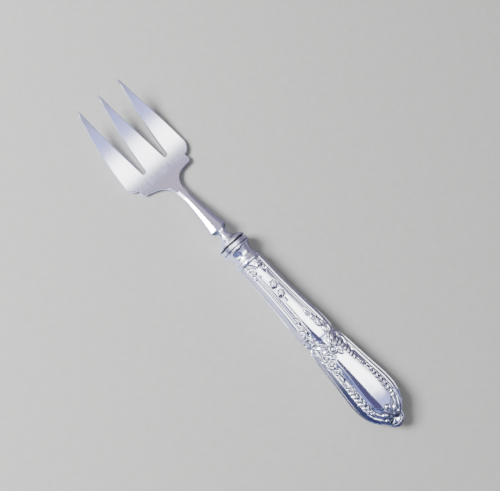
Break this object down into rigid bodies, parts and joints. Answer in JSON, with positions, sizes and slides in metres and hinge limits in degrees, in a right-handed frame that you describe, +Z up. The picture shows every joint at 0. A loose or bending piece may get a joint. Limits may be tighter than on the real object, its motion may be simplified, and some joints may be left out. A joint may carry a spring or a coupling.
{
  "type": "bread fork",
  "caption": "Serving fork for bread or cold cuts: flat tapering tines on a curved crown, slim stem, turned ferrule and a hollow ornamented silver handle.",
  "frame": {"origin": "on the table, under the middle of the fork's length, on its centre line", "axes": "+Y along the fork towards the tine tips, +X across it to the right, +Z up, on the hollow side of the tines"},
  "size_m": [0.0374, 0.2056, 0.016],
  "materials": {
    "plated_head": "silver plate with fine lengthwise brushing",
    "silver_collar": "polished silver with fine scratches",
    "silver_handle": "polished silver with darker recesses",
    "handle_cement": "dull set cement"
  },
  "bodies": {
    "root": {"fork_head": "plated_head", "ferrule": "silver_collar", "handle_front": "silver_handle", "handle_back": "silver_handle", "handle_filling": "handle_cement"}
  },
  "joints": []
}
